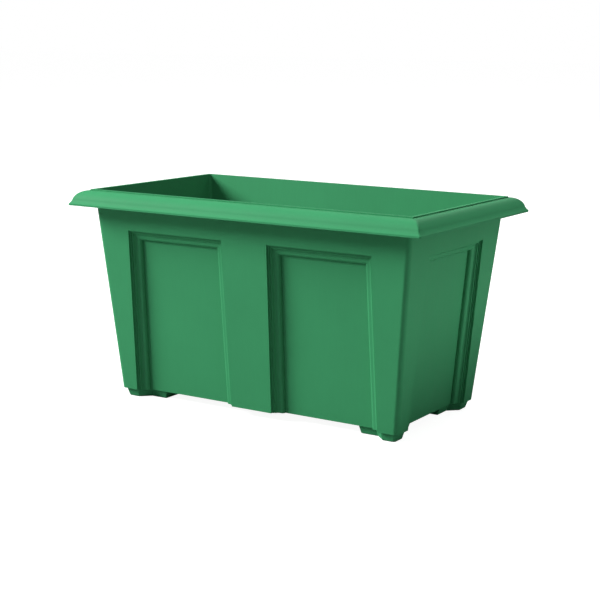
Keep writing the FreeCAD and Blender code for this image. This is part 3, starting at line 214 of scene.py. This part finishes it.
def mitre_picker():
    """A node group that gives a bevel weight to the rim's outer mitre edges, heavier towards the lip."""
    tree = bpy.data.node_groups.new("mitre_picker", "GeometryNodeTree")
    tree.interface.new_socket("Geometry", in_out="INPUT", socket_type="NodeSocketGeometry")
    tree.interface.new_socket("Geometry", in_out="OUTPUT", socket_type="NodeSocketGeometry")
    source = tree.nodes.new("NodeGroupInput")
    result = tree.nodes.new("NodeGroupOutput")
    ends = tree.nodes.new("GeometryNodeInputMeshEdgeVertices")

    def calc(operation, first, second=None):
        """A math node on two values, either of which may be a number."""
        node = tree.nodes.new("ShaderNodeMath")
        node.operation = operation
        for socket, value in zip(node.inputs, (first, second)):
            if isinstance(value, (int, float)):
                socket.default_value = value
            elif value is not None:
                tree.links.new(value, socket)
        return node.outputs[0]

    def on_outer_mitre(position):
        """1 where a point is on the mitre of the rim's outer face, short of the crest. Also its rise."""
        split = tree.nodes.new("ShaderNodeSeparateXYZ")
        tree.links.new(position, split.inputs[0])
        inset_x = calc("SUBTRACT", RIM_HALF_X, calc("ABSOLUTE", split.outputs[0]))
        inset_y = calc("SUBTRACT", RIM_HALF_Y, calc("ABSOLUTE", split.outputs[1]))
        rise = calc("SUBTRACT", split.outputs[2], LIP_BOTTOM)
        level = calc("LESS_THAN", calc("ABSOLUTE", calc("SUBTRACT", inset_x, inset_y)), ON_MITRE)
        short = calc("LESS_THAN", inset_x, RIM_CREST)
        across = calc("SUBTRACT", RIM_CREST, inset_x)
        up = calc("SUBTRACT", rise, SHOULDER_CENTRE_UP)
        reach = calc("SQRT", calc("ADD", calc("MULTIPLY", across, across), calc("MULTIPLY", up, up)))
        outside = calc("GREATER_THAN", reach, SHOULDER_MIDDLE)
        return calc("MULTIPLY", calc("MULTIPLY", level, short), outside), rise

    first, first_rise = on_outer_mitre(ends.outputs["Position 1"])
    second, second_rise = on_outer_mitre(ends.outputs["Position 2"])
    rise = calc("MULTIPLY", calc("ADD", first_rise, second_rise), 0.5)
    raised = calc("GREATER_THAN", rise, OFF_LIP)
    length = tree.nodes.new("ShaderNodeVectorMath")
    length.operation = "DISTANCE"
    tree.links.new(ends.outputs["Position 1"], length.inputs[0])
    tree.links.new(ends.outputs["Position 2"], length.inputs[1])
    one_corner = calc("LESS_THAN", length.outputs["Value"], RIM_HALF_Y)
    picked = calc("MULTIPLY", calc("MULTIPLY", first, second), calc("MULTIPLY", raised, one_corner))
    fade = calc("SUBTRACT", 1.0, calc("MULTIPLY", rise, MITRE_FADE / RIM_HEIGHT))
    store = tree.nodes.new("GeometryNodeStoreNamedAttribute")
    store.data_type = "FLOAT"
    store.domain = "EDGE"
    store.inputs["Name"].default_value = "bevel_weight_edge"
    tree.links.new(source.outputs[0], store.inputs["Geometry"])
    tree.links.new(calc("MULTIPLY", picked, fade), store.inputs["Value"])
    tree.links.new(store.outputs[0], result.inputs[0])
    return tree


# ------------------------------------------------------------------ materials and edges on the CAD nodes

SHELL_EDGE = 0.6 * MM
SMALL_EDGE = 0.4 * MM
EDGE_SEGMENTS = 3
EDGE_ANGLE = math.radians(25)
FLAT_ANGLE = math.radians(0.5)
WELD_DISTANCE = 0.002 * MM


def add_bevel(piece, name, width, segments):
    """A bevel modifier that isn't limited yet."""
    bevel = piece.modifiers.new(name, "BEVEL")
    bevel.width = width
    bevel.segments = segments
    bevel.use_clamp_overlap = True
    return bevel


def dress(node):
    """Gives a CAD node its material and rounded edges. The mesh itself stays as it is."""
    piece = nodes[node]
    piece.data.materials.clear()
    piece.data.materials.append(MATERIALS[slot_of[node]])
    weld = piece.modifiers.new("weld", "WELD")
    weld.merge_threshold = WELD_DISTANCE
    flat = piece.modifiers.new("flat", "DECIMATE")
    flat.decimate_type = "DISSOLVE"
    flat.angle_limit = FLAT_ANGLE
    edge_width = SMALL_EDGE
    if node == "planter_shell":
        edge_width = SHELL_EDGE
        pick = piece.modifiers.new("pick_mitres", "NODES")
        pick.node_group = mitre_picker()
        add_bevel(piece, "round_mitres", MITRE_WIDTH, MITRE_SEGMENTS).limit_method = "WEIGHT"
    edges = add_bevel(piece, "round_edges", edge_width, EDGE_SEGMENTS)
    edges.limit_method = "ANGLE"
    edges.angle_limit = EDGE_ANGLE
    normals = piece.modifiers.new("normals", "WEIGHTED_NORMAL")
    normals.keep_sharp = False


for name in nodes:
    dress(name)

# ------------------------------------------------------------------ studio


def seen_white(tree, surface, white):
    """Plain white for what the camera sees directly, so that the white doesn't light the object."""
    path = tree.nodes.new("ShaderNodeLightPath")
    mix = tree.nodes.new("ShaderNodeMixShader")
    tree.links.new(path.outputs["Is Camera Ray"], mix.inputs["Fac"])
    tree.links.new(surface, mix.inputs[1])
    tree.links.new(white, mix.inputs[2])
    return mix.outputs["Shader"]


PAPER_GLOW = 0.93  # seen by the camera only
FLOOR_HALF = 30.0


def floor_paper():
    """White paper that shows a faint contact shadow, and throws little light back."""
    material = bpy.data.materials.new("floor_paper")
    material.use_nodes = True
    tree = material.node_tree
    tree.nodes.clear()
    output = tree.nodes.new("ShaderNodeOutputMaterial")
    mottle = noise(tree, object_coordinates(tree), 3.0)
    stops = [(0.3, (0.34, 0.34, 0.34)), (0.7, (0.36, 0.36, 0.36))]
    paper = tree.nodes.new("ShaderNodeBsdfDiffuse")
    tree.links.new(ramp(tree, mottle, stops), paper.inputs["Color"])
    glow = tree.nodes.new("ShaderNodeEmission")
    glow.inputs["Strength"].default_value = PAPER_GLOW
    lit = tree.nodes.new("ShaderNodeAddShader")
    tree.links.new(paper.outputs[0], lit.inputs[0])
    tree.links.new(glow.outputs[0], lit.inputs[1])
    tree.links.new(seen_white(tree, paper.outputs[0], lit.outputs[0]), output.inputs["Surface"])
    return material


def build_floor():
    """A pale floor that fills the view."""
    mesh = bpy.data.meshes.new("floor")
    corners = [(x * FLOOR_HALF, y * FLOOR_HALF, 0) for x, y in ((-1, -1), (1, -1), (1, 1), (-1, 1))]
    mesh.from_pydata(corners, [], [(0, 1, 2, 3)])
    floor = bpy.data.objects.new("floor", mesh)
    bpy.context.scene.collection.objects.link(floor)
    mesh.materials.append(floor_paper())


MIDDLE = (0, 0, 0.17)  # of the planter


def area_light(name, azimuth, elevation, distance, size, power, aim=MIDDLE, spread=180):
    """A soft box that looks at the planter. Azimuth 0 is the front, and grows to the right."""
    a = math.radians(azimuth)
    e = math.radians(elevation)
    data = bpy.data.lights.new(name, "AREA")
    data.shape = "ELLIPSE"
    data.size, data.size_y = size
    data.energy = power
    data.spread = math.radians(spread)
    lamp = bpy.data.objects.new(name, data)
    direction = Vector((math.sin(a) * math.cos(e), -math.cos(a) * math.cos(e), math.sin(e)))
    lamp.location = Vector(aim) + direction * distance
    lamp.rotation_mode = "QUATERNION"
    lamp.rotation_quaternion = (-direction).to_track_quat("-Z", "Y")
    bpy.context.scene.collection.objects.link(lamp)


def build_world(strength):
    """Plain white behind the object, and weak even light from all round."""
    world = bpy.data.worlds.new("studio")
    world.use_nodes = True
    tree = world.node_tree
    tree.nodes.clear()
    output = tree.nodes.new("ShaderNodeOutputWorld")
    fill = tree.nodes.new("ShaderNodeBackground")
    fill.inputs["Strength"].default_value = strength
    white = tree.nodes.new("ShaderNodeBackground")
    for shader in (fill, white):
        shader.inputs["Color"].default_value = (1.0, 1.0, 1.0, 1.0)
    tree.links.new(seen_white(tree, fill.outputs[0], white.outputs[0]), output.inputs["Surface"])
    bpy.context.scene.world = world


CAMERA_PLACE = (1.12332, -1.81053, 0.55965)
CAMERA_AZIMUTH, CAMERA_ELEVATION, CAMERA_ROLL = 31.686, 10.631, 0.725
CAMERA_LENS = 84.76
SENSOR_WIDTH = 36
CLIP_END = 200


def build_camera():
    """The photographer's place: a long lens from the front right, a little above the rim."""
    data = bpy.data.cameras.new("camera")
    data.sensor_width = SENSOR_WIDTH
    data.lens = CAMERA_LENS
    data.clip_end = CLIP_END
    camera = bpy.data.objects.new("camera", data)
    turn = Matrix.Rotation(math.radians(CAMERA_AZIMUTH), 4, "Z")
    tilt = Matrix.Rotation(math.radians(90 - CAMERA_ELEVATION), 4, "X")
    level = Matrix.Rotation(math.radians(CAMERA_ROLL), 4, "Z")
    camera.matrix_world = Matrix.Translation(CAMERA_PLACE) @ turn @ tilt @ level
    bpy.context.scene.collection.objects.link(camera)
    bpy.context.scene.camera = camera


SOFT_BOX = (2.2, 2.2)

build_floor()
build_world(0.19)
area_light("key", -58, 30, 5.0, SOFT_BOX, 400)
area_light("side", 116, 2, 1.0, (1.2, 0.12), 0.4, (0, 0, 0.18), 34)
area_light("top", 60, 82, 5.0, SOFT_BOX, 75)
area_light("back", 188, 48, 5.0, SOFT_BOX, 80)
build_camera()
bpy.context.scene.view_settings.view_transform = "Standard"
bpy.context.scene.view_settings.look = "None"
